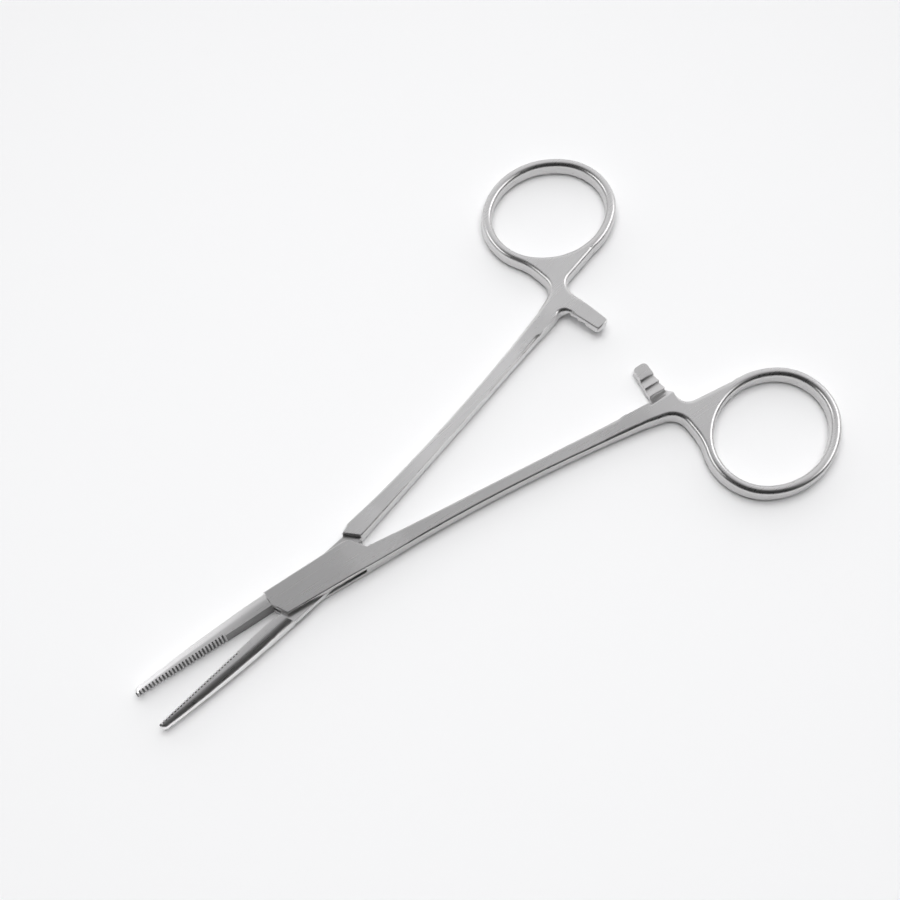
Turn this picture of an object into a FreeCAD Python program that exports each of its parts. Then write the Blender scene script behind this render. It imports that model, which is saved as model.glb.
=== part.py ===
import FreeCAD
import Part
import Sketcher
import math
import os

# A straight hemostat forceps with a box lock, lying flat with its jaws a little open.
# X runs from the jaws to the finger rings, Y across the two halves, Z up from the underside.
# The origin is on the hinge axis, on the plane that the box rests on.
# Each half is drawn in its closed place: the jaws meet on the X axis, and the handle side is +Y.
# The half with the box is then turned over, so that its handle lies on the -Y side.

# Driving sizes in millimetres and degrees
driving_sizes = {
    # box lock
    "box_height": 4.2,
    "slot_height": 1.5,
    "tongue_gap": 0.05,
    "box_front": 9.45,
    "box_back": 7.0,
    "box_side": 2.9,
    "box_corner_radius": 1.8,
    "box_slope": 1.5,
    "notch_x": 9.15,
    "notch_y": 0.28,
    "lock_gap": 0.45,
    "cut_margin": 3.0,
    "wall_gap": 0.2,
    "slot_front": 8.6,
    "slot_back": 6.8,
    "pin_diameter": 2.4,
    "pin_clearance": 0.04,
    # shank
    "root_x": 9.6,
    "root_y": 2.09,
    "root_width": 3.52,
    "middle_x": 40.0,
    "middle_y": 4.82,
    "middle_width": 2.45,
    "neck_x": 66.0,
    "neck_y": 8.2,
    "neck_width": 3.4,
    "taper_start": 4.5,
    "shank_x": 16.0,
    "shank_height": 3.0,
    "waist_x": 57.0,
    "waist_height": 2.5,
    "swell_x": 67.8,
    # finger ring
    "ring_x": 84.9,
    "ring_y": 24.5,
    "ring_long": 13.15,
    "ring_short": 11.35,
    "ring_flatten": 1.15,
    "ring_tilt": 11.8,
    "ring_height": 3.6,
    "ring_width": 2.0,
    "ring_shoulder": 0.55,
    "flank_x": 72.6,
    "flank_y": 11.6,
    "flank_radius": 3.5,
    "flank_sweep": 12.0,
    "palm_y": 10.75,
    "palm_rise": 1.3,
    "palm_radius": 3.0,
    # ratchet arm
    "arm_x": 72.3,
    "arm_width": 3.6,
    "arm_root_y": 6.9,
    "arm_root_radius": 1.8,
    "arm_tip_x": 73.2,
    "arm_tip_width": 2.95,
    "arm_reach": 1.25,
    "ramp_end_y": 7.5,
    "arm_tip_radius": 0.9,
    "arm_gap": 0.1,
    "tooth_pitch": 1.85,
    "tooth_depth": 0.75,
    "tooth_rake": 0.3,
    "tooth_start": 1.65,
    # jaw
    "jaw_length": 38.9,
    "jaw_root_x": 9.0,
    "jaw_gap": 0.03,
    "jaw_root_width": 2.85,
    "jaw_root_height": 4.1,
    "jaw_root_flat": 1.5,
    "jaw_root_strip": 2.4,
    "jaw_mid_x": 25.0,
    "jaw_mid_width": 2.4,
    "jaw_mid_height": 3.1,
    "jaw_mid_flat": 0.95,
    "jaw_mid_strip": 1.5,
    "jaw_tip_width": 1.3,
    "jaw_tip_height": 1.9,
    "jaw_tip_flat": 0.4,
    "jaw_tip_strip": 0.6,
    "jaw_nose": 0.6,
    "jaw_nose_width": 0.85,
    "jaw_nose_height": 1.2,
    "jaw_nose_flat": 0.3,
    "jaw_nose_strip": 0.35,
    "serration_pitch": 0.68,
    "serration_depth": 0.22,
    "tip_land": 0.4,
    # pose of the two halves as they lie
    "half_opening": 5.0,
}
serration_count = 26
tooth_count = 3
# Two points nearer than this, in millimetres, count as one
touch = 0.001

doc = FreeCAD.newDocument("HemostatForceps")
sheet = doc.addObject("Spreadsheet::Sheet", "Sizes")
for row, (name, value) in enumerate(driving_sizes.items(), start=1):
    sheet.set("A%d" % row, name)
    sheet.set("B%d" % row, str(value))
    sheet.setAlias("B%d" % row, name)
doc.recompute()


def amount(text):
    """The value of a sum of sizes and numbers, such as 'box_height/2 + arm_gap'."""
    total = 0.0
    sign = 1.0
    for word in text.split():
        if word in ("+", "-"):
            sign = 1.0 if word == "+" else -1.0
            continue
        name, _, divisor = word.partition("/")
        value = driving_sizes[name] if name in driving_sizes else float(name)
        total += sign * value / float(divisor or 1)
        sign = 1.0
    return total


def formula(text, sign=1):
    """The same sum written with the sheet's cells, negative where sign is -1."""
    words = []
    for word in text.split():
        name = word.partition("/")[0]
        words.append("Sizes." + word if name in driving_sizes else word)
    total = " ".join(words)
    if total.startswith("-"):
        total = "0 " + total
    return total if sign == 1 else "-1 * (" + total + ")"


def new_body(label):
    body = doc.addObject("PartDesign::Body", label)
    body.Label = label
    return body


def base_plane(body, role):
    return [item for item in body.Origin.OriginFeatures if item.Role == role][0]


def new_sketch(body, name, role, offset="0"):
    """An empty sketch on one of the body's base planes, lifted along its normal by a sum of sizes."""
    sketch = body.newObject("Sketcher::SketchObject", name)
    sketch.AttachmentSupport = (base_plane(body, role), [""])
    sketch.MapMode = "FlatFace"
    sketch.AttachmentOffset = FreeCAD.Placement(
        FreeCAD.Vector(0, 0, amount(offset)), FreeCAD.Rotation())
    sketch.setExpression("AttachmentOffset.Base.z", formula(offset))
    return sketch


def bind_point(sketch, geometry, end, x_text, y_text, sign=1):
    """Hold a point at two sums of sizes, both negative where sign is -1."""
    for kind, text in (("DistanceX", x_text), ("DistanceY", y_text)):
        number = sketch.addConstraint(
            Sketcher.Constraint(kind, geometry, end, sign * amount(text)))
        sketch.setExpression("Constraints[%d]" % number, formula(text, sign))


def add_arc(sketch, here, middle, there):
    """An arc through three points; returns the numbers of its first and its last end."""
    arc = sketch.addGeometry(Part.Arc(here, middle, there), False)
    return (1, 2) if sketch.getPoint(arc, 1).distanceToPoint(here) < touch else (2, 1)


def close_outline(sketch, corners, ends, smooth=()):
    """Join each line to the next one, tangent after the smooth ones, and bind the corners to the sheet."""
    for index in range(len(corners)):
        following = (index + 1) % len(corners)
        kind = "Tangent" if index in smooth else "Coincident"
        sketch.addConstraint(Sketcher.Constraint(
            kind, index, ends[index][1], following, ends[following][0]))
    for index, corner in enumerate(corners):
        bind_point(sketch, index, ends[index][0], corner[0], corner[1])


def draw_outline(sketch, corners):
    """A closed outline of straight lines and arcs, bound to the sheet.

    A corner is a pair of sums. Where it has two more, the line that starts there is an arc through them.
    """
    points = [FreeCAD.Vector(amount(corner[0]), amount(corner[1]), 0) for corner in corners]
    ends = []
    for index, corner in enumerate(corners):
        here = points[index]
        there = points[(index + 1) % len(corners)]
        if len(corner) == 2:
            sketch.addGeometry(Part.LineSegment(here, there), False)
            ends.append((1, 2))
        else:
            via = FreeCAD.Vector(amount(corner[2]), amount(corner[3]), 0)
            ends.append(add_arc(sketch, here, via, there))
    close_outline(sketch, corners, ends)
    for index, corner in enumerate(corners):
        if len(corner) == 4:
            via = FreeCAD.Vector(amount(corner[2]), amount(corner[3]), 0)
            dot = sketch.addGeometry(Part.Point(via), True)
            sketch.addConstraint(Sketcher.Constraint("PointOnObject", dot, 1, index))
            bind_point(sketch, dot, 1, corner[2], corner[3])


def new_ring_sketch(body, name):
    """A level sketch with its own centre at the middle of the ring, turned along the ring's long axis."""
    sketch = new_sketch(body, name, "XY_Plane")
    sketch.AttachmentOffset = FreeCAD.Placement(
        FreeCAD.Vector(amount("ring_x"), amount("ring_y"), 0),
        FreeCAD.Rotation(FreeCAD.Vector(0, 0, -1), amount("ring_tilt")))
    sketch.setExpression("AttachmentOffset.Base.x", formula("ring_x"))
    sketch.setExpression("AttachmentOffset.Base.y", formula("ring_y"))
    sketch.setExpression("AttachmentOffset.Rotation.Angle", formula("ring_tilt"))
    return sketch


def oval_radii(edge_text):
    """The radii of the ring's round ends and of its flatter sides, on the oval that the text shifts."""
    long, short = amount("ring_long" + edge_text), amount("ring_short" + edge_text)
    end = amount("ring_short - ring_flatten" + edge_text)
    flat = ((long - end) ** 2 + short ** 2 - end ** 2) / (2 * (short - end))
    return end, flat


def draw_oval(sketch, edge_text):
    """An oval of the ring: round ends joined by flatter sides, all tangent."""
    long_text, short_text = "ring_long" + edge_text, "ring_short" + edge_text
    long, short = amount(long_text), amount(short_text)
    end, flat = oval_radii(edge_text)
    turn = math.atan2(flat - short, long - end)
    up = FreeCAD.Vector(0, 0, 1)
    parts = [
        (long - end, 0, end, 0, turn),
        (0, short - flat, flat, turn, math.pi - turn),
        (end - long, 0, end, math.pi - turn, math.pi + turn),
        (0, flat - short, flat, math.pi + turn, 2 * math.pi - turn),
        (long - end, 0, end, 2 * math.pi - turn, 2 * math.pi)]
    for x, y, radius, first, last in parts:
        circle = Part.Circle(FreeCAD.Vector(x, y, 0), up, radius)
        sketch.addGeometry(Part.ArcOfCircle(circle, first, last), False)
    for index in range(4):
        sketch.addConstraint(Sketcher.Constraint("Tangent", index, 2, index + 1, 1))
    sketch.addConstraint(Sketcher.Constraint("Coincident", 4, 2, 0, 1))
    for index in (0, 2, 4):
        number = sketch.addConstraint(Sketcher.Constraint("Radius", index, end))
        sketch.setExpression("Constraints[%d]" % number, formula("ring_short - ring_flatten" + edge_text))
    bind_point(sketch, 0, 1, long_text, "0")
    marks = [(1, "0", short_text, 1), (2, long_text, "0", -1), (3, "0", short_text, -1)]
    for arc, x_text, y_text, sign in marks:
        spot = FreeCAD.Vector(sign * amount(x_text), sign * amount(y_text), 0)
        dot = sketch.addGeometry(Part.Point(spot), True)
        sketch.addConstraint(Sketcher.Constraint("PointOnObject", dot, 1, arc))
        bind_point(sketch, dot, 1, x_text, y_text, sign)


def pad(body, name, sketch, length):
    feature = body.newObject("PartDesign::Pad", name)
    feature.Profile = sketch
    feature.Length = amount(length)
    feature.setExpression("Length", formula(length))
    doc.recompute()
    return feature


def pocket(body, name, sketch, length, both=False, flip=False):
    feature = body.newObject("PartDesign::Pocket", name)
    feature.Profile = sketch
    feature.Midplane = both
    feature.Reversed = flip
    before = body.Shape.Volume
    feature.Length = amount(length)
    feature.setExpression("Length", formula(length))
    doc.recompute()
    if not feature.Shape.Volume < before - touch:
        raise RuntimeError(name + " cuts nothing")
    return feature


def fillet(body, name, base, chosen, radius):
    """Round the edges of the base feature that the test picks."""
    return dress(body, "PartDesign::Fillet", name, base, chosen, "Radius", radius)


def dress(body, kind, name, base, chosen, reach, text):
    """Round or bevel the edges that the test picks; reach is the feature's own word for how far."""
    names = ["Edge%d" % number for number, edge in enumerate(base.Shape.Edges, start=1) if chosen(edge)]
    if not names:
        raise RuntimeError(name + " finds no edge")
    feature = body.newObject(kind, name)
    feature.Base = (base, names)
    setattr(feature, reach, amount(text))
    feature.setExpression(reach, formula(text))
    doc.recompute()
    return feature


def upright_at(spots):
    """A test for upright edges that stand at the named corners of a plan."""
    places = [(amount(x), amount(y)) for x, y in spots]

    def chosen(edge):
        ends = [vertex.Point for vertex in edge.Vertexes]
        return all(any(math.hypot(end.x - x, end.y - y) < touch for x, y in places) for end in ends)
    return chosen


def handle_plan(start):
    """The plan of shank, neck and ratchet arm, from the corners at the lock round to them again."""
    inner_bow = ("middle_x", "middle_y - middle_width/2")
    outer_bow = ("middle_x", "middle_y + middle_width/2")
    return start + [
        ("root_x", "root_y - root_width/2") + inner_bow,
        ("arm_x - arm_width/2", "arm_root_y"),
        ("arm_tip_x - arm_tip_width/2", "- arm_reach"),
        ("arm_tip_x + arm_tip_width/2", "- arm_reach"),
        ("arm_x + arm_width/2", "palm_y"),
        ("ring_x", "palm_y + palm_rise"),
        ("ring_x", "ring_y"),
        ("flank_x", "ring_y"),
        ("flank_x", "flank_y"),
        ("neck_x", "neck_y + neck_width/2") + outer_bow,
        ("root_x", "root_y + root_width/2"),
    ]


def round_handle(body, base):
    """Round the plan's upright corners, so that shank, arm and ring flow into each other."""
    flank_x, flank_y = amount("flank_x"), amount("flank_y")

    def ring_notch(edge):
        ends = [vertex.Point for vertex in edge.Vertexes]
        return all(abs(end.x - flank_x) < touch and end.y > flank_y + touch for end in ends)

    corners = [
        ("_sweep", ring_notch, "flank_sweep"),
        ("_flank", upright_at([("flank_x", "flank_y")]), "flank_radius"),
        ("_arm_root", upright_at([("arm_x - arm_width/2", "arm_root_y")]), "arm_root_radius"),
        ("_palm", upright_at([("arm_x + arm_width/2", "palm_y")]), "palm_radius"),
        ("_arm_tip", upright_at([
            ("arm_tip_x - arm_tip_width/2", "- arm_reach"),
            ("arm_tip_x + arm_tip_width/2", "- arm_reach")]), "arm_tip_radius")]
    for name, chosen, radius in corners:
        base = fillet(body, body.Label + name, base, chosen, radius)


def thin_shank(body):
    """Cut the top and the underside down from the box to the shank's own height."""
    width = "ring_y + ring_y + ring_long + ring_long"
    for name, sign in (("_top_taper", 1), ("_under_taper", -1)):
        sketch = new_sketch(body, body.Label + name + "_plan", "XZ_Plane")
        half = "box_height/2 + " if sign == 1 else "box_height/2 - "
        draw_outline(sketch, [
            ("taper_start", half + "box_height/2"),
            ("shank_x", half + "shank_height/2"),
            ("waist_x", half + "waist_height/2"),
            ("swell_x", half + "ring_height/2"),
            ("ring_x + ring_long + cut_margin", half + "ring_height/2"),
            ("ring_x + ring_long + cut_margin", half + "box_height"),
            ("taper_start", half + "box_height")])
        pocket(body, body.Label + name, sketch, width, both=True)


def add_handle(body, start, lock_corners=()):
    """The flat forging of one half: lock end, shank, neck, ratchet arm and finger ring."""
    sketch = new_sketch(body, body.Label + "_plan", "XY_Plane")
    draw_outline(sketch, handle_plan(start))
    blank = pad(body, body.Label + "_blank", sketch, "box_height")
    if lock_corners:
        fillet(body, body.Label + "_lock_corner", blank, upright_at(lock_corners), "box_corner_radius")
    outside = new_ring_sketch(body, body.Label + "_ring_outside")
    draw_oval(outside, " + ring_width/2")
    disc = pad(body, body.Label + "_ring_disc", outside, "box_height")
    round_handle(body, disc)
    thin_shank(body)
    open_ring(body)


def open_ring(body):
    """The finger hole, with a bevelled shoulder above and below."""
    inside = new_ring_sketch(body, body.Label + "_ring_inside")
    draw_oval(inside, " - ring_width/2")
    hole = pocket(body, body.Label + "_ring_hole", inside, "box_height", flip=True)
    radii = oval_radii(" - ring_width/2")

    def hole_rim(edge):
        curve = edge.Curve
        return hasattr(curve, "Radius") and min(abs(curve.Radius - radius) for radius in radii) < touch

    dress(body, "PartDesign::Chamfer", body.Label + "_ring_shoulders", hole, hole_rim, "Size",
          "ring_shoulder")


def jaw_section(body, name, x_text, part):
    """One section of the jaw: flat biting face, rounded back and an upright strip along the back."""
    width, height = "jaw_%s_width" % part, "jaw_%s_height/2" % part
    flat, strip = "jaw_%s_flat" % part, "jaw_%s_strip/2" % part
    middle = "box_height/2 "
    sketch = new_sketch(body, name, "YZ_Plane", x_text)
    corners = [
        ("- jaw_gap", middle + "- " + height),
        ("- jaw_gap", middle + "+ " + height),
        ("- " + flat, middle + "+ " + height),
        ("- " + width, middle + "+ " + strip),
        ("- " + width, middle + "- " + strip),
        ("- " + flat, middle + "- " + height)]
    draw_section(sketch, corners)
    return sketch


def draw_section(sketch, corners):
    """The jaw's section: six corners, with an arc from each flat that runs on round to the strip."""
    points = [FreeCAD.Vector(amount(y), amount(z), 0) for y, z in corners]
    arcs = {2: 1, 4: -1}
    ends = []
    for index, here in enumerate(points):
        there = points[(index + 1) % len(points)]
        if index not in arcs:
            sketch.addGeometry(Part.LineSegment(here, there), False)
            ends.append((1, 2))
            continue
        flat_end, strip_end = (here, there) if index == 2 else (there, here)
        chord = strip_end.sub(flat_end)
        radius = chord.Length ** 2 / (2 * abs(chord.y))
        centre = FreeCAD.Vector(flat_end.x, flat_end.y - arcs[index] * radius, 0)
        middle = centre.add((here.add(there) * 0.5).sub(centre).normalize() * radius)
        ends.append(add_arc(sketch, here, middle, there))
    close_outline(sketch, corners, ends, smooth=(1, 4))


def add_jaw(body):
    """The tapered jaw, lofted from the lock to the tip, and its blunt nose."""
    stations = [
        ("- jaw_root_x", "root"),
        ("- jaw_mid_x", "mid"),
        ("- jaw_length + jaw_nose", "tip"),
        ("- jaw_length", "nose")]
    sections = [jaw_section(body, "%s_jaw_%s" % (body.Label, part), x_text, part)
                for x_text, part in stations]
    for name, run in (("_jaw", sections[:3]), ("_nose", sections[2:])):
        loft = body.newObject("PartDesign::AdditiveLoft", body.Label + name)
        loft.Profile = run[0]
        loft.Sections = run[1:]
        doc.recompute()


def cut_serrations(body):
    """Cross grooves along the outer two thirds of the biting face."""
    groove = new_sketch(body, body.Label + "_groove", "XY_Plane")
    draw_outline(groove, [
        ("- jaw_length + tip_land", "jaw_gap"),
        ("- jaw_length + tip_land + serration_pitch/2", "- jaw_gap - serration_depth"),
        ("- jaw_length + tip_land + serration_pitch", "jaw_gap")])
    cut = pocket(body, body.Label + "_serration", groove, "box_height", flip=True)
    row = body.newObject("PartDesign::LinearPattern", body.Label + "_serrations")
    row.Originals = [cut]
    row.Direction = (base_plane(body, "X_Axis"), [""])
    row.Length = amount("serration_pitch") * (serration_count - 1)
    row.setExpression("Length", formula("serration_pitch") + " * %d" % (serration_count - 1))
    row.Occurrences = serration_count
    body.Tip = row
    doc.recompute()
    return row


def cut_ratchet(body):
    """Thin the arm to the upper half of the neck's height and cut its teeth, which point down."""
    crest = "box_height/2 + arm_gap/2"
    root = crest + " + tooth_depth"
    outside = "- cut_margin"
    corners = [("- arm_reach - cut_margin", outside), ("- arm_reach - cut_margin", crest)]
    reach = "tooth_start"
    for _ in range(tooth_count):
        corners.append((reach, crest))
        corners.append((reach + " + tooth_rake", root))
        reach = reach + " + tooth_pitch"
    corners.append(("ramp_end_y", "box_height/2 - ring_height/2"))
    corners.append(("ramp_end_y", outside))
    sketch = new_sketch(body, body.Label + "_ratchet_profile", "YZ_Plane", "arm_x")
    draw_outline(sketch, corners)
    pocket(body, body.Label + "_ratchet", sketch, "arm_width + cut_margin", both=True)


def cut_pin_bore(body, diameter):
    """The round bore on the hinge axis, through the whole lock."""
    sketch = new_sketch(body, body.Label + "_bore_plan", "XY_Plane")
    circle = Part.Circle(FreeCAD.Vector(0, 0, 0), FreeCAD.Vector(0, 0, 1), amount(diameter))
    sketch.addGeometry(circle, False)
    sketch.addConstraint(Sketcher.Constraint("Coincident", 0, 3, -1, 1))
    number = sketch.addConstraint(Sketcher.Constraint("Radius", 0, amount(diameter)))
    sketch.setExpression("Constraints[%d]" % number, formula(diameter))
    return pocket(body, body.Label + "_bore", sketch, "box_height", flip=True)


def lay_open(body):
    """Turn the half about the hinge, away from its closed place."""
    body.Placement = FreeCAD.Placement(
        FreeCAD.Vector(0, 0, 0), FreeCAD.Rotation(FreeCAD.Vector(0, 0, 1), amount("half_opening")))
    body.setExpression("Placement.Rotation.Angle", formula("half_opening"))


def turn_over(body):
    """Lay the half open and turn it over, about a level line that halves the opening."""
    lean = math.radians(amount("half_opening/2"))
    body.Placement = FreeCAD.Placement(
        FreeCAD.Vector(0, 0, amount("box_height")),
        FreeCAD.Rotation(FreeCAD.Vector(math.cos(lean), -math.sin(lean), 0), 180))
    body.setExpression("Placement.Base.z", formula("box_height"))
    body.setExpression("Placement.Rotation.Axis.x", "cos(Sizes.half_opening / 2 * 1 deg)")
    body.setExpression("Placement.Rotation.Axis.y", "-1 * sin(Sizes.half_opening / 2 * 1 deg)")


def make_box_half():
    """The half whose lock end is the box: its slot lets the other half pass through."""
    body = new_body("box_half")
    start = [
        ("- box_front", "box_side"),
        ("- box_front - box_slope", "- jaw_gap"),
        ("- box_front - box_slope", "- box_side"),
        ("box_back", "- box_side"),
        ("notch_x", "notch_y")]
    add_handle(body, start, [("box_back", "- box_side")])
    add_jaw(body)
    slot = new_sketch(body, "box_half_slot_plan", "XY_Plane", "box_height/2")
    draw_outline(slot, [
        ("- box_front - box_slope + wall_gap", "jaw_gap"),
        ("- slot_front", "- box_side - wall_gap"),
        ("- slot_front", "- box_side - cut_margin"),
        ("root_x + cut_margin", "- box_side - cut_margin"),
        ("root_x + cut_margin", "jaw_gap"),
        ("notch_x - lock_gap", "jaw_gap"),
        ("slot_back", "box_side + lock_gap"),
        ("slot_back", "box_side + cut_margin"),
        ("- box_front - cut_margin", "box_side + cut_margin"),
        ("- box_front - cut_margin", "jaw_gap")])
    pocket(body, "box_half_slot", slot, "slot_height", both=True)
    cut_ratchet(body)
    cut_pin_bore(body, "pin_diameter/2")
    cut_serrations(body)
    turn_over(body)
    return body


def make_tongue_half():
    """The half whose lock end is a thin tongue between two shoulders, threaded through the box."""
    body = new_body("tongue_half")
    start = [
        ("box_back + lock_gap", "box_side + wall_gap"),
        ("box_back + lock_gap", "box_side"),
        ("- slot_front + wall_gap", "box_side"),
        ("- box_front - box_slope + lock_gap", "- jaw_gap"),
        ("- box_front", "- box_side"),
        ("slot_back - wall_gap", "- box_side"),
        ("notch_x - lock_gap - wall_gap", "- jaw_gap")]
    add_handle(body, start)
    add_jaw(body)
    shoulders = [
        ("- box_front - box_slope - lock_gap", "jaw_gap"),
        ("- box_front - lock_gap", "- box_side"),
        ("- box_front - lock_gap", "- box_side - cut_margin"),
        ("root_x", "- box_side - cut_margin"),
        ("root_x", "root_y - root_width/2"),
        ("box_back + lock_gap", "box_side + wall_gap"),
        ("box_back + lock_gap", "box_side + cut_margin"),
        ("- box_front - box_slope - lock_gap", "box_side + cut_margin")]
    faces = [
        ("upper_shoulders", "box_height/2 + slot_height/2 - tongue_gap", True),
        ("lower_shoulders", "box_height/2 - slot_height/2 + tongue_gap", False)]
    for name, level, upward in faces:
        sketch = new_sketch(body, name + "_plan", "XY_Plane", level)
        draw_outline(sketch, shoulders)
        pocket(body, name, sketch, "box_height", flip=upward)
    cut_ratchet(body)
    cut_pin_bore(body, "pin_diameter/2 + pin_clearance")
    cut_serrations(body)
    lay_open(body)
    return body


def make_pin():
    """The hinge pin, ground flush with both faces of the box."""
    pin = doc.addObject("Part::Cylinder", "pivot_pin")
    pin.Label = "pivot_pin"
    pin.Radius = amount("pin_diameter/2")
    pin.setExpression("Radius", formula("pin_diameter/2"))
    pin.Height = amount("box_height")
    pin.setExpression("Height", formula("box_height"))
    return pin


pieces = [make_box_half(), make_tongue_half(), make_pin()]
doc.recompute()

for item in doc.Objects:
    if "Invalid" in item.State or "Error" in item.State:
        raise RuntimeError(item.Label + " did not build")
os.makedirs("parts", exist_ok=True)
for piece in pieces:
    shape = piece.Shape
    if shape.isNull() or not shape.isValid():
        raise RuntimeError(piece.Label + " has no valid shape")
for piece in pieces:
    piece.Shape.exportStep("parts/" + piece.Label + ".step")
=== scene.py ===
# %% [markdown]
# Hemostat forceps, dressed for a product photograph.
# The real thing is two steel halves that cross in a box lock and turn on a pin ground flush with it. The
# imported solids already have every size, tooth and serration, and modelling them again in Blender would only
# add a second set of sizes to keep in step. So this script copies their meshes, rounds the rims as a
# polisher would, gives them satin steel, and lights them on a white table from the photograph's angle.

# %% Load the fixed frame
import math

import bmesh
import bpy
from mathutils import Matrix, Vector


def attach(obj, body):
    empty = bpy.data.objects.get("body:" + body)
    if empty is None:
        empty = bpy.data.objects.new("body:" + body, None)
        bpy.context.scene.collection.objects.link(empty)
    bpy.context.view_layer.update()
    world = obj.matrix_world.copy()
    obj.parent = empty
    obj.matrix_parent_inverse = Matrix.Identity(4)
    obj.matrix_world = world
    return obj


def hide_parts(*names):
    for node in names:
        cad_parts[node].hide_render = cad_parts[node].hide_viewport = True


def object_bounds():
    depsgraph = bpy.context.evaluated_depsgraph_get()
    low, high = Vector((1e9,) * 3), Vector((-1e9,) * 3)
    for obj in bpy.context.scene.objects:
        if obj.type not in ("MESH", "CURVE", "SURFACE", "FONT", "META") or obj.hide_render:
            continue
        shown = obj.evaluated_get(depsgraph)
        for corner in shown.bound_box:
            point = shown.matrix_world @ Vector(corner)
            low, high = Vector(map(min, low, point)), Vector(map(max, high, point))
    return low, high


MM = 0.001

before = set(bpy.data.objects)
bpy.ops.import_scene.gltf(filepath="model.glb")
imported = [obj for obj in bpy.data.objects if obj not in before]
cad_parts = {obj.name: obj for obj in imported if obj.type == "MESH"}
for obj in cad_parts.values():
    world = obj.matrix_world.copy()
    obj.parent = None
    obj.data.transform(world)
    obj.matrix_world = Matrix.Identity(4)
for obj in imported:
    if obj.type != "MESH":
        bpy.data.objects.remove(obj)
cad_box = [list(corner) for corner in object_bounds()]
print("CAD box in metres:", cad_box)

# %% [markdown]
# The photograph looks down on the forceps steeply, from the side of the jaws. A camera could be turned by
# hand until the picture fits, but three angles say little to the next reader. Here it is given a place and
# a point to look at, between the two shanks, and it is turned to that point with no roll.

# %% Camera
CAMERA_PLACE = Vector((-36.5, -79.1, 246.4)) * MM
CAMERA_TARGET = Vector((33.0, 4.0, 3.55)) * MM
CAMERA_LENS = 56.8
SENSOR_WIDTH = 36.0
NEAREST_SEEN = 0.01


def new_object(name, data):
    """An object of the scene that shows a mesh, a camera or a lamp."""
    thing = bpy.data.objects.new(name, data)
    bpy.context.scene.collection.objects.link(thing)
    return thing


view_line = CAMERA_TARGET - CAMERA_PLACE
camera_data = bpy.data.cameras.new("camera")
camera_data.lens = CAMERA_LENS
camera_data.sensor_width = SENSOR_WIDTH
camera_data.clip_start = NEAREST_SEEN
camera = new_object("camera", camera_data)
camera.location = CAMERA_PLACE
camera.rotation_euler = view_line.to_track_quat("-Z", "Y").to_euler()
bpy.context.scene.camera = camera
print("Camera", round(view_line.length / MM, 1), "mm from its target")

# %% [markdown]
# The forceps lie on a white table with no edge in sight. Studios use a curved backdrop for that, but from
# so steep an angle one wide flat sheet fills the picture. It lies a hair below the lowest face of the part,
# so that the two never share a plane, and it is a little off white, so that the lamps don't burn it out.

# %% Floor
FLOOR_REACH = 1.5
FLOOR_GAP = 0.02 * MM
FLOOR_COLOUR = (0.93, 0.93, 0.935, 1.0)
FLOOR_ROUGHNESS = 0.6
FLOOR_SPECULAR = 0.2

floor_height = cad_box[0][2] - FLOOR_GAP
floor_corners = [(x * FLOOR_REACH, y * FLOOR_REACH, floor_height)
                 for x, y in ((-1, -1), (1, -1), (1, 1), (-1, 1))]
floor_mesh = bpy.data.meshes.new("floor")
floor_mesh.from_pydata(floor_corners, [], [(0, 1, 2, 3)])
floor = new_object("floor", floor_mesh)

floor_material = bpy.data.materials.new("white_table")
floor_material.use_nodes = True
floor_shader = floor_material.node_tree.nodes["Principled BSDF"]
floor_shader.inputs["Base Color"].default_value = FLOOR_COLOUR
floor_shader.inputs["Roughness"].default_value = FLOOR_ROUGHNESS
floor_shader.inputs["Specular IOR Level"].default_value = FLOOR_SPECULAR
floor_mesh.materials.append(floor_material)
print("Floor at", round(floor_height / MM, 2), "mm")

# %% [markdown]
# Bright steel has no colour of its own and shows what stands round it, so the room matters more than the
# lamps. A photographer hangs black and white cards round the table, and they could be built as planes. A
# ramp of greys on the world does the same with six numbers: nearly black behind the camera, which draws the
# dark bands on the rings, grey overhead for the flat tops, and bright on the far side.

# %% Room
ROOM_TONES = [(0.30, 0.035), (0.48, 0.09), (0.61, 0.40), (0.72, 0.80), (0.90, 0.95), (1.0, 0.95)]
ROOM_BLUE = 1.01


def add_node(tree, kind, place, **values):
    """A node of the given kind in a tree, with some of its settings."""
    node = tree.nodes.new(kind)
    node.location = place
    for name, value in values.items():
        setattr(node, name, value)
    return node


def fill_ramp(node, stops):
    """Give a ColorRamp node its stops, each a position and a colour."""
    elements = node.color_ramp.elements
    while len(elements) < len(stops):
        elements.new(0.5)
    for element, (position, colour) in zip(elements, stops):
        element.position = position
        element.color = colour


view_heading = math.atan2(view_line.y, view_line.x)
world = bpy.data.worlds.new("room")
world.use_nodes = True
room = world.node_tree
direction = add_node(room, "ShaderNodeTexCoord", (-1000, 0))
away = add_node(room, "ShaderNodeVectorMath", (-800, 0), operation="DOT_PRODUCT")
away.inputs[1].default_value = (math.cos(view_heading), math.sin(view_heading), 0.0)
front_to_back = add_node(room, "ShaderNodeMapRange", (-600, 0))
front_to_back.inputs["From Min"].default_value = -1.0
room_ramp = add_node(room, "ShaderNodeValToRGB", (-350, 0))
fill_ramp(room_ramp, [(position, (tone, tone, tone * ROOM_BLUE, 1.0)) for position, tone in ROOM_TONES])
room.links.new(direction.outputs["Generated"], away.inputs[0])
room.links.new(away.outputs["Value"], front_to_back.inputs["Value"])
room.links.new(front_to_back.outputs["Result"], room_ramp.inputs["Fac"])
room.links.new(room_ramp.outputs["Color"], room.nodes["Background"].inputs["Color"])
bpy.context.scene.world = world
bpy.context.scene.view_settings.view_transform = "Standard"
print("Room of", len(ROOM_TONES), "tones from front to back")

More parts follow.
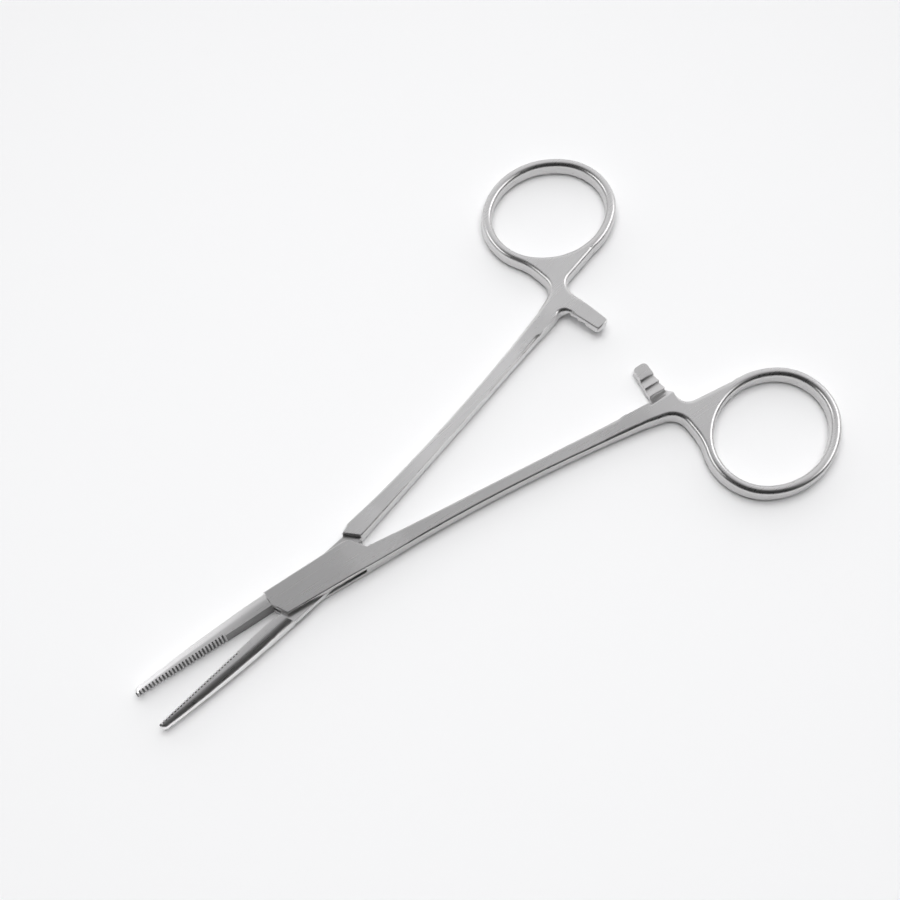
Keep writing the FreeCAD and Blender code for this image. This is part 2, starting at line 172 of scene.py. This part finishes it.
# %% [markdown]
# The crescents of light on the rings are two soft boxes, one on each side of the part. They could be
# painted into the room, but as lamps each can be moved and dimmed alone. Only gloss shows them. The table
# gets its light from a third lamp nearly straight overhead, which the steel doesn't mirror, so the shadows
# stay soft and close to the steel.

# %% Lamps
LAMP_DISTANCE = 0.6
SOFT_BOX_HEIGHT = math.radians(36.0)
RIGHT_SWING = math.radians(16.0)
LEFT_SWING = math.radians(-2.0)
SOFT_BOX_SIZE = (0.50, 0.28)
SOFT_BOX_POWER = 0.85
TABLE_LAMP_HEIGHT = math.radians(88.0)
TABLE_LAMP_SIZE = (0.45, 0.45)
TABLE_LAMP_POWER = 2.85


def area_lamp(name, heading, height, size, power):
    """A flat lamp in some direction from the camera's target, turned to it."""
    data = bpy.data.lights.new(name, "AREA")
    data.shape = "RECTANGLE"
    data.size, data.size_y = size
    data.energy = power
    lamp = new_object(name, data)
    level = math.cos(height)
    reach = Vector((level * math.cos(heading), level * math.sin(heading), math.sin(height)))
    lamp.location = CAMERA_TARGET + LAMP_DISTANCE * reach
    lamp.rotation_euler = (-reach).to_track_quat("-Z", "Y").to_euler()
    return lamp


right_heading = view_heading - math.pi / 2 + RIGHT_SWING
left_heading = view_heading + math.pi / 2 - LEFT_SWING
for name, heading in (("right_soft_box", right_heading), ("left_soft_box", left_heading)):
    soft_box = area_lamp(name, heading, SOFT_BOX_HEIGHT, SOFT_BOX_SIZE, SOFT_BOX_POWER)
    soft_box.visible_diffuse = False
table_lamp = area_lamp("table_lamp", view_heading, TABLE_LAMP_HEIGHT, TABLE_LAMP_SIZE, TABLE_LAMP_POWER)
table_lamp.visible_glossy = False
print("Lamps", [lamp.name for lamp in bpy.data.lights])

# %% [markdown]
# Satin steel is brushed after grinding: fine streaks run along each half, and the tone clouds a little. A
# picture of brushed metal would have to be unwrapped onto the part and would repeat. Noise on Object
# coordinates needs neither: stretched along the half it draws streaks, and left round it draws clouds. A
# node group holds both, so that all three steels share them. Its Angle turns the grain along each half,
# since at rest the two halves lie 5 degrees to either side of the middle line.

# %% Brushed grain group
HALF_OPENING = math.radians(5.0)
STREAK_STRETCH = (90.0, 5200.0, 5200.0)
STREAK_DETAIL = 2.0
CLOUD_SCALE = 110.0
CLOUD_DETAIL = 5.0

grain = bpy.data.node_groups.new("brushed_grain", "ShaderNodeTree")
grain.interface.new_socket("Angle", in_out="INPUT", socket_type="NodeSocketFloat")
for output in ("Streaks", "Clouds", "Along", "Biting Face", "Crest", "Groove End"):
    grain.interface.new_socket(output, in_out="OUTPUT", socket_type="NodeSocketFloat")

group_in = add_node(grain, "NodeGroupInput", (-900, 0))
group_out = add_node(grain, "NodeGroupOutput", (500, 0))
coordinates = add_node(grain, "ShaderNodeTexCoord", (-900, -200))
turned_place = add_node(grain, "ShaderNodeVectorRotate", (-650, 0), rotation_type="Z_AXIS")
turned_normal = add_node(grain, "ShaderNodeVectorRotate", (-650, -500), rotation_type="Z_AXIS")
grain.links.new(coordinates.outputs["Object"], turned_place.inputs["Vector"])
grain.links.new(coordinates.outputs["Normal"], turned_normal.inputs["Vector"])
for turned in (turned_place, turned_normal):
    grain.links.new(group_in.outputs["Angle"], turned.inputs["Angle"])

stretch = add_node(grain, "ShaderNodeVectorMath", (-420, 100), operation="MULTIPLY")
stretch.inputs[1].default_value = STREAK_STRETCH
streaks = add_node(grain, "ShaderNodeTexNoise", (-180, 100))
streaks.inputs["Scale"].default_value = 1.0
streaks.inputs["Detail"].default_value = STREAK_DETAIL
clouds = add_node(grain, "ShaderNodeTexNoise", (-180, -200))
clouds.inputs["Scale"].default_value = CLOUD_SCALE
clouds.inputs["Detail"].default_value = CLOUD_DETAIL
grain.links.new(turned_place.outputs["Vector"], stretch.inputs[0])
grain.links.new(stretch.outputs["Vector"], streaks.inputs["Vector"])
grain.links.new(coordinates.outputs["Object"], clouds.inputs["Vector"])
grain.links.new(streaks.outputs["Fac"], group_out.inputs["Streaks"])
grain.links.new(clouds.outputs["Fac"], group_out.inputs["Clouds"])
print("Grain stretched", round(STREAK_STRETCH[1] / STREAK_STRETCH[0]), "times along the half")

# %% [markdown]
# Each half gets brighter and darker stretches from the light, and the faces that bite, between the jaws, lie
# in shade; both are painted into the steel's tone. Separate materials for these would need their faces picked
# out by hand. A mask worked out from the place needs no picking. Along runs from 0 just before the jaws' tips
# to 1 just past the rings. Biting
# Face is 1 on the upright faces close to the middle line of the jaws.

# %% Masks in the same group
HALF_START = -40.0 * MM
HALF_END = 100.0 * MM
JAW_START = -9.4 * MM
BITING_DEPTH = 0.5 * MM
UPRIGHT = 0.6


def math_node(tree, operation, first, second, place):
    """One step of arithmetic on a value, with a number, another value or nothing."""
    node = add_node(tree, "ShaderNodeMath", place, operation=operation)
    tree.links.new(first, node.inputs[0])
    if isinstance(second, (int, float)):
        node.inputs[1].default_value = second
    elif second is not None:
        tree.links.new(second, node.inputs[1])
    return node.outputs[0]


half_place = add_node(grain, "ShaderNodeSeparateXYZ", (-420, -350))
facing = add_node(grain, "ShaderNodeSeparateXYZ", (-420, -550))
grain.links.new(turned_place.outputs["Vector"], half_place.inputs["Vector"])
grain.links.new(turned_normal.outputs["Vector"], facing.inputs["Vector"])
along_half = add_node(grain, "ShaderNodeMapRange", (-180, -350))
along_half.inputs["From Min"].default_value = HALF_START
along_half.inputs["From Max"].default_value = HALF_END
grain.links.new(half_place.outputs["X"], along_half.inputs["Value"])
grain.links.new(along_half.outputs["Result"], group_out.inputs["Along"])

# Biting Face marks the upright faces between the jaws, where a dark grey paints the shade that falls there.
on_jaw = math_node(grain, "LESS_THAN", half_place.outputs["X"], JAW_START, (-180, -500))
off_middle = math_node(grain, "ABSOLUTE", half_place.outputs["Y"], None, (-180, -650))
near_middle = math_node(grain, "LESS_THAN", off_middle, BITING_DEPTH, (0, -650))
across = math_node(grain, "ABSOLUTE", facing.outputs["Y"], None, (-180, -800))
upright = math_node(grain, "GREATER_THAN", across, UPRIGHT, (0, -800))
inner_jaw = math_node(grain, "MULTIPLY", on_jaw, near_middle, (160, -600))
biting = math_node(grain, "MULTIPLY", inner_jaw, upright, (320, -700))
grain.links.new(biting, group_out.inputs["Biting Face"])
print("Biting faces", round(BITING_DEPTH / MM, 1), "mm to either side of the middle line")

# %% [markdown]
# The cross serrations are grooves milled across the biting faces. The solids have them, but each is only a
# few pixels wide in a picture, where the light on the crests and the shade in the grooves tell more than
# the shape. Deeper grooves would fold the small faces between them, so two masks paint that light and shade
# into the tone instead: a painted highlight on the crests and painted shade at the groove ends.
# Crest is 1 on the outermost faces of the serrations, and Groove End is 1 where a groove comes out at the
# jaw's edge.

# %% Serration masks in the same group
SERRATIONS_END = -20.6 * MM
SERRATION_PITCH = 0.68 * MM
FIRST_GROOVE = -38.16 * MM
CREST_DEPTH = 0.09 * MM
GROOVE_REACH = 0.42 * MM
GROOVE_SHARE = 0.22

# Crest marks the serrations' crests for a lighter grey, a painted highlight.
serrated = math_node(grain, "LESS_THAN", half_place.outputs["X"], SERRATIONS_END, (-180, -1000))
outermost = math_node(grain, "LESS_THAN", off_middle, CREST_DEPTH, (0, -1000))
crest = math_node(grain, "MULTIPLY", serrated, outermost, (160, -1000))
grain.links.new(crest, group_out.inputs["Crest"])

# Groove End marks where each groove comes out at the jaw's edge, for near black there: a painted shade.
past_first = math_node(grain, "SUBTRACT", half_place.outputs["X"], FIRST_GROOVE, (-180, -1200))
pitches = math_node(grain, "DIVIDE", past_first, SERRATION_PITCH, (0, -1200))
from_groove = math_node(grain, "PINGPONG", pitches, 0.5, (160, -1200))
in_groove = math_node(grain, "LESS_THAN", from_groove, GROOVE_SHARE, (320, -1200))
near_edge = math_node(grain, "LESS_THAN", off_middle, GROOVE_REACH, (0, -1400))
serrated_edge = math_node(grain, "MULTIPLY", serrated, near_edge, (160, -1400))
groove_end = math_node(grain, "MULTIPLY", serrated_edge, in_groove, (480, -1300))
grain.links.new(groove_end, group_out.inputs["Groove End"])
print("Grain group with", len(grain.nodes), "nodes")

# %% [markdown]
# Forceps are polished to a satin, so they blur what they mirror. A plain metal of roughness near 0.3 gives
# that, and one grey could colour it all, but the halves change tone along their length as the light on them
# changes. So a ramp of greys, read by Along, paints that light and shade into the Base Color, and the masks
# mix painted shade on the biting faces and groove ends, and a painted highlight on the crests, over it. The
# streaks make the roughness waver and press a very shallow bump, which keeps the gloss from looking like
# glass.

# %% Steel materials
ROUGHNESS = 0.29
ROUGHNESS_SPREAD = 0.03
CLOUD_SPREAD = 0.04
RELIEF = 0.10
RELIEF_DEPTH = 0.02 * MM
NOISE_LOW, NOISE_HIGH = 0.25, 0.75
WARMTH = 0.99
# Painted light and shade mixed over the steel: dark grey on the biting faces and near black at the groove
# ends for shade, and a lighter grey on the crests for their highlight.
PAINTED_MASK_TONES = (("Biting Face", 0.16), ("Crest", 0.50), ("Groove End", 0.07))


def around(tree, noise, middle, spread, place):
    """Turn a noise into a value that wavers round a middle value."""
    node = add_node(tree, "ShaderNodeMapRange", place)
    node.inputs["From Min"].default_value = NOISE_LOW
    node.inputs["From Max"].default_value = NOISE_HIGH
    node.inputs["To Min"].default_value = middle - spread
    node.inputs["To Max"].default_value = middle + spread
    tree.links.new(noise, node.inputs["Value"])
    return node.outputs["Result"]


def grey(tone):
    """A barely warm grey."""
    return (tone, tone * WARMTH, tone * WARMTH, 1.0)


def steel_colour(tree, group, tones):
    """The grey along the half, which paints the light and shade on it, clouded, with the painted shade and
    highlight of the masks mixed over it.
    """
    ramp = add_node(tree, "ShaderNodeValToRGB", (-850, 350))
    length = HALF_END - HALF_START
    fill_ramp(ramp, [((place * MM - HALF_START) / length, grey(tone)) for place, tone in tones])
    tree.links.new(group.outputs["Along"], ramp.inputs["Fac"])
    cloudy = add_node(tree, "ShaderNodeVectorMath", (-500, 300), operation="SCALE")
    waver = around(tree, group.outputs["Clouds"], 1.0, CLOUD_SPREAD, (-800, 600))
    tree.links.new(ramp.outputs["Color"], cloudy.inputs[0])
    tree.links.new(waver, cloudy.inputs["Scale"])
    colour = cloudy.outputs["Vector"]
    for step, (mask, tone) in enumerate(PAINTED_MASK_TONES):
        mix = add_node(tree, "ShaderNodeMix", (-300 + 150 * step, 250), data_type="RGBA")
        tree.links.new(group.outputs[mask], mix.inputs[0])
        tree.links.new(colour, mix.inputs[6])
        mix.inputs[7].default_value = grey(tone)
        colour = mix.outputs[2]
    return colour


def make_steel(name, angle, tones):
    """Brushed steel; tones lists places along the half, in millimetres, with the grey of each, which paints
    the light there.
    """
    material = bpy.data.materials.new(name)
    material.use_nodes = True
    tree = material.node_tree
    shader = tree.nodes["Principled BSDF"]
    shader.inputs["Metallic"].default_value = 1.0
    group = add_node(tree, "ShaderNodeGroup", (-1100, 0), node_tree=grain)
    group.inputs["Angle"].default_value = angle
    rough = around(tree, group.outputs["Streaks"], ROUGHNESS, ROUGHNESS_SPREAD, (-550, 0))
    tree.links.new(rough, shader.inputs["Roughness"])
    tree.links.new(steel_colour(tree, group, tones), shader.inputs["Base Color"])
    relief = add_node(tree, "ShaderNodeBump", (-300, -200))
    relief.inputs["Strength"].default_value = RELIEF
    relief.inputs["Distance"].default_value = RELIEF_DEPTH
    tree.links.new(group.outputs["Streaks"], relief.inputs["Height"])
    tree.links.new(relief.outputs["Normal"], shader.inputs["Normal"])
    return material


# Painted light: these greys along each half stand in for the light and shade on it, brightest at the jaws'
# tips, and the box half's darker greys paint it as less lit than the tongue half.
BOX_LIGHT_TONES = [(-38, 0.98), (-26, 0.82), (-12, 0.58), (0, 0.57), (50, 0.58), (74, 0.63)]
TONGUE_LIGHT_TONES = [(-38, 0.98), (-12, 0.82), (8, 0.60), (30, 0.76), (56, 0.74), (74, 0.64)]
box_steel = make_steel("satin_steel_box", HALF_OPENING, BOX_LIGHT_TONES)
tongue_steel = make_steel("satin_steel_tongue", -HALF_OPENING, TONGUE_LIGHT_TONES)
pin_steel = make_steel("pin_steel", HALF_OPENING, BOX_LIGHT_TONES)
print("Steels", [steel.name for steel in (box_steel, tongue_steel, pin_steel)])

# %% [markdown]
# The real halves are ground round by hand, most of all at the finger rings, while the solids' outer rims
# are sharp. A Bevel modifier is the usual way, but it has one width, and here a rim that suits the ring
# would eat up the thin arm. So the radius is worked out for each place: small along the shank and the box,
# growing towards the ring, and fading out on the ratchet arm. The side where an arm is thinned for its
# teeth is cut down sharply, so there the rounding fades to nothing. The same numbers serve both halves,
# because closed_place turns a point back to the closed forceps and brings it to one side.

# %% Rim radii
SHANK_RIM = 0.22
BELLY_RIM, BELLY_START, BELLY_END = 0.16, 12.0, 20.0
RING_RIM, RING_START, RING_END = 0.55, 50.0, 74.0
ARM_START = 64.0
# On an arm: the least radius, and between which places across the half it grows back to the handle's.
CUT_ARM = (0.0, 7.6, 10.5)
WHOLE_ARM = (0.25, 3.5, 7.5)


def closed_place(point, side):
    """Where a point lies when its half is closed, with the handle on the +Y side."""
    cosine, sine = math.cos(HALF_OPENING), math.sin(HALF_OPENING) * side
    return point.x * cosine + point.y * sine, (point.y * cosine - point.x * sine) * side


def blend(value, low, high):
    """0 below the low limit, 1 above the high one, and smooth between them."""
    share = min(1.0, max(0.0, (value - low) / (high - low)))
    return share * share * (3.0 - 2.0 * share)


def rim_radius(x, y, cut):
    """The wanted radius at a place on a rim, in metres; cut is true on the side where the arm is thinned."""
    x, y = x / MM, y / MM
    belly = BELLY_RIM * blend(x, BELLY_START, BELLY_END)
    ring = RING_RIM * blend(x, RING_START, RING_END)
    radius = SHANK_RIM + belly + ring
    if x > ARM_START:
        least, low, high = CUT_ARM if cut else WHOLE_ARM
        radius = least + (radius - least) * blend(y, low, high)
    return radius * MM


largest = SHANK_RIM + BELLY_RIM + RING_RIM
print("Rims rounded from", SHANK_RIM, "mm on the shanks to", round(largest, 2), "mm on the rings")

# %% [markdown]
# A rim is an edge between a level face and an upright wall. Blender can pick edges by angle alone, but that
# would also take the teeth and the lock's inside, where a round would open gaps. So a rim must also lie on
# the handle or the box, and away from the pin's bore, which stays as sharp as the pin. The bevel that the
# solids have in their finger holes is taken back to a square edge first, to be rounded like the rest.

# %% Find the rims
TOUCH = 0.001 * MM
LEVEL_NORMAL = 0.95
WALL_NORMAL = 0.2
ROUND_FROM = {"box_half": -11.2 * MM, "tongue_half": 7.0 * MM}
BORE_REACH = 1.8 * MM
RING_PLACE = (84.9 * MM, 24.5 * MM)
RING_REACH = 13.0 * MM
HOLE_BEVEL = 0.55 * MM


def is_rim(edge, up, node, side):
    """Whether an edge of a handle or of the box lies between a level face and an upright wall."""
    ends = [closed_place(vertex.co, side) for vertex in edge.verts]
    if min(x for x, y in ends) < ROUND_FROM[node] or min(math.hypot(x, y) for x, y in ends) < BORE_REACH:
        return False
    level, wall = sorted((face.normal.z * up for face in edge.link_faces), reverse=True)
    return level > LEVEL_NORMAL and abs(wall) < WALL_NORMAL


def in_ring(point, side):
    """Whether a point lies round the finger hole."""
    x, y = closed_place(point, side)
    return math.hypot(x - RING_PLACE[0], y - RING_PLACE[1]) < RING_REACH


def square_hole(work, side):
    """Take the bevel off the finger hole, so that its rims are rounded like the others."""
    heights = [vertex.co.z for vertex in work.verts if closed_place(vertex.co, side)[0] > RING_PLACE[0]]
    targets = {}
    for up, level in ((1, max(heights)), (-1, min(heights))):
        foot = level - up * HOLE_BEVEL
        wall = [v for v in work.verts if abs(v.co.z - foot) < TOUCH and in_ring(v.co, side)]
        beside = [edge.other_vert(v) for v in wall for edge in v.link_edges]
        rim = [v for v in dict.fromkeys(beside) if abs(v.co.z - level) < TOUCH]
        for vertex in wall:
            vertex.co.z = level
        for vertex in rim:
            targets[vertex] = min(wall, key=lambda v: (v.co - vertex.co).length)
    bmesh.ops.weld_verts(work, targetmap=targets)
    print("Finger hole squared at", len(targets), "vertices")


# %% [markdown]
# Each rim vertex is exchanged for a column of vertices that climbs in a quarter circle from the wall to the
# flat. Where two rims meet at a slant, the column leans along the line halfway between them, as a mitre
# does. The radius is never more than about half of the wall below, which is measured first, so that the
# rounds of the top and of the underside can't run into each other on a thin arm.

# %% Columns of a quarter round
ROUND_STEPS = 7
SHARPEST_MITRE = 0.5
STEEP = 0.5
UPWARDS = Vector((0, 0, 1))


def wall_depth(vertex, up):
    """How far the wall at a rim's vertex goes before it ends, in metres."""
    depth = 1.0
    for face in vertex.link_faces:
        if abs(face.normal.z) > STEEP:
            continue
        run = face.normal.cross(UPWARDS)
        here = vertex.co.dot(run)
        for edge in face.edges:
            first, last = (v.co for v in edge.verts)
            before, after = first.dot(run) - here, last.dot(run) - here
            if min(before, after) > TOUCH or max(before, after) < -TOUCH:
                continue
            heights = [first.z, last.z]
            if abs(before - after) >= TOUCH:
                heights = [first.z + (last.z - first.z) * before / (before - after)]
            drops = [(vertex.co.z - height) * up for height in heights]
            depth = min([depth] + [drop for drop in drops if drop > 2 * TOUCH])
    return depth


def into_flat(vertex, edge, flat):
    """The level direction, square to a rim, that points into the flat face beside it."""
    square = UPWARDS.cross(edge.other_vert(vertex).co - vertex.co).normalized()
    for loop in flat.loops:
        if loop.edge == edge:
            run = loop.link_loop_next.vert.co - loop.vert.co
            if flat.normal.cross(run).dot(square) < 0:
                return -square
    return square


def rim_column(work, vertex, rims, up, radius):
    """New vertices that climb from the wall to the flat in a quarter round."""
    flats = [max(edge.link_faces, key=lambda face: face.normal.z * up) for edge in rims]
    inward = [into_flat(vertex, edge, flat) for edge, flat in zip(rims, flats)]
    middle = (inward[0] + inward[1]).normalized()
    spread = max(SHARPEST_MITRE, middle.dot(inward[0]))
    tilt = flats[0].normal.copy()
    column = []
    for step in range(ROUND_STEPS + 1):
        angle = math.pi / 2 * step / ROUND_STEPS
        shift = middle * (radius * (1 - math.cos(angle)) / spread)
        slope = -(tilt.x * shift.x + tilt.y * shift.y) / tilt.z
        drop = radius * (1 - math.sin(angle))
        column.append(work.verts.new(vertex.co + shift + Vector((0, 0, slope - up * drop))))
    return column


print("Quarter rounds of", ROUND_STEPS, "steps")

# %% [markdown]
# The columns then become a surface. The old faces are drawn again from the columns' ends, strips of narrow
# faces join each column to the next, and the old faces and vertices are deleted. A Boolean with a moulding
# would also work, but it leaves slivers. Long rims are divided first, or the radius could only change at
# their ends.

# %% Round the rims of a half
LONGEST_RIM = 1.2 * MM
LEAST_RIM = 0.02 * MM
WALL_SHARE = 0.45
CUT_LEVEL = {"box_half": 1, "tongue_half": -1}


def divide_long_rims(work, node, side):
    """Cut long rims up, so that the radius can change along them."""
    for up in (1, -1):
        long_rims = [e for e in work.edges if is_rim(e, up, node, side) and e.calc_length() > LONGEST_RIM]
        for edge in long_rims:
            bmesh.ops.subdivide_edges(work, edges=[edge], cuts=int(edge.calc_length() / LONGEST_RIM))


def rim_columns(work, rims, node, side, up):
    """A column for each vertex where two rims meet and there is wall enough."""
    meeting = {}
    for edge in rims:
        for vertex in edge.verts:
            meeting.setdefault(vertex, []).append(edge)
    columns = {}
    for vertex, edges in meeting.items():
        x, y = closed_place(vertex.co, side)
        radius = min(rim_radius(x, y, CUT_LEVEL[node] == up), WALL_SHARE * wall_depth(vertex, up))
        if len(edges) == 2 and radius > LEAST_RIM:
            columns[vertex] = rim_column(work, vertex, edges, up, radius)
    return columns


def join_columns(work, rims, columns):
    """Strips of faces between the columns at the two ends of each rim."""
    for edge in rims:
        first, last = (columns.get(v, [v] * (ROUND_STEPS + 1)) for v in edge.verts)
        if first[0] is first[-1] and last[0] is last[-1]:
            continue
        for step in range(ROUND_STEPS):
            corners = [first[step], last[step], last[step + 1], first[step + 1]]
            work.faces.new([v for index, v in enumerate(corners) if v is not corners[index - 1]])


def round_rims(work, node, side):
    """Replace every rim of a half's handle, and of the box, by a quarter round."""
    divide_long_rims(work, node, side)
    for up in (1, -1):
        work.normal_update()
        rims = [edge for edge in work.edges if is_rim(edge, up, node, side)]
        columns = rim_columns(work, rims, node, side, up)
        old = list(dict.fromkeys(face for vertex in columns for face in vertex.link_faces))
        for face in old:
            end = -1 if abs(face.normal.z) > STEEP else 0
            work.faces.new([columns[v][end] if v in columns else v for v in face.verts])
        join_columns(work, rims, columns)
        bmesh.ops.delete(work, geom=old, context="FACES_ONLY")
        bmesh.ops.delete(work, geom=[v for v in columns if v.is_valid], context="VERTS")
        print(node, "rim", up, "has", len(columns), "columns")
    bmesh.ops.recalc_face_normals(work, faces=work.faces)


# %% [markdown]
# The jaws and the ratchet arms are honed but not rounded: their edges only catch a thin line of light. A
# Bevel modifier is the right tool for that, with its width shared out by edge weights. The box lock, the
# pin and the serrations get none, because their short edges would fold under a bevel and the real ones are
# crisp. The Weighted Normal modifier then keeps the wide flats flat in the light, where plain smooth
# shading bends them.

# %% Steel pieces
WELD_DISTANCE = 0.012 * MM
SAME_PLANE = math.radians(0.2)
SHARP = math.radians(28.0)
FINE_ROUND = 0.16 * MM
FINE_JAW = -12.0 * MM
FINE_ARM = ARM_START * MM
CRISP_END = -20.5 * MM
CRISP_DEPTH = 0.32 * MM
FLAT_WEIGHT = 60


def fine_weight(edge, side):
    """How much of the fine bevel an edge gets, from where it lies in its closed place."""
    ends = [closed_place(vertex.co, side) for vertex in edge.verts]
    crisp = all(x < CRISP_END and abs(y) < CRISP_DEPTH for x, y in ends)
    on_jaw = all(x < FINE_JAW for x, y in ends)
    on_arm = all(x > FINE_ARM for x, y in ends)
    return 1.0 if edge.is_convex and not crisp and (on_jaw or on_arm) else 0.0


def rounded_mesh(node, name, side):
    """A welded copy of a node's mesh, with its rims rounded and its bevel weights set."""
    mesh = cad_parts[node].data.copy()
    mesh.name = name
    work = bmesh.new()
    work.from_mesh(mesh)
    bmesh.ops.remove_doubles(work, verts=work.verts, dist=WELD_DISTANCE)
    if node in ROUND_FROM:
        square_hole(work, side)
    bmesh.ops.dissolve_limit(work, angle_limit=SAME_PLANE, verts=work.verts, edges=work.edges)
    if node in ROUND_FROM:
        round_rims(work, node, side)
    weight = work.edges.layers.float.new("bevel_weight_edge")
    for edge in work.edges:
        if edge.calc_face_angle(0.0) > SHARP:
            edge[weight] = fine_weight(edge, side)
            edge.smooth = edge[weight] > 0.0
    print(name, "open edges", sum(1 for edge in work.edges if len(edge.link_faces) != 2))
    work.to_mesh(mesh)
    work.free()
    return mesh


def steel_piece(node, name, material, side):
    """The finished piece that stands in for a node."""
    mesh = rounded_mesh(node, name, side)
    mesh.materials.clear()
    mesh.materials.append(material)
    for polygon in mesh.polygons:
        polygon.use_smooth = True
    piece = new_object(name, mesh)
    bevel = piece.modifiers.new("fine_edges", "BEVEL")
    bevel.limit_method = "WEIGHT"
    bevel.width = FINE_ROUND
    bevel.segments = 2
    bevel.use_clamp_overlap = False
    bevel.miter_outer = "MITER_ARC"
    normals = piece.modifiers.new("flat_tops", "WEIGHTED_NORMAL")
    normals.keep_sharp = True
    normals.weight = FLAT_WEIGHT
    print(name, "has", len(mesh.polygons), "faces before its bevel")
    return piece


box_half = steel_piece("box_half", "box_half_steel", box_steel, -1)
tongue_half = steel_piece("tongue_half", "tongue_half_steel", tongue_steel, 1)
pivot_pin = steel_piece("pivot_pin", "pivot_pin_steel", pin_steel, 1)

# %% [markdown]
# Each steel piece rides on the body that carries its solid and hides that solid. It is parented to the body's
# empty, made if it is missing, so it follows when the joint moves. The pin is pressed into the box, so it
# rides with the box half.

# %% Bodies
for piece, body, node, slot in ((box_half, "box_side", "box_half", "satin_steel"),
                                (tongue_half, "tongue_side", "tongue_half", "satin_steel"),
                                (pivot_pin, "box_side", "pivot_pin", "pin_steel")):
    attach(piece, body)
    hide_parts(node)
    print(piece.name, "rides on", body)
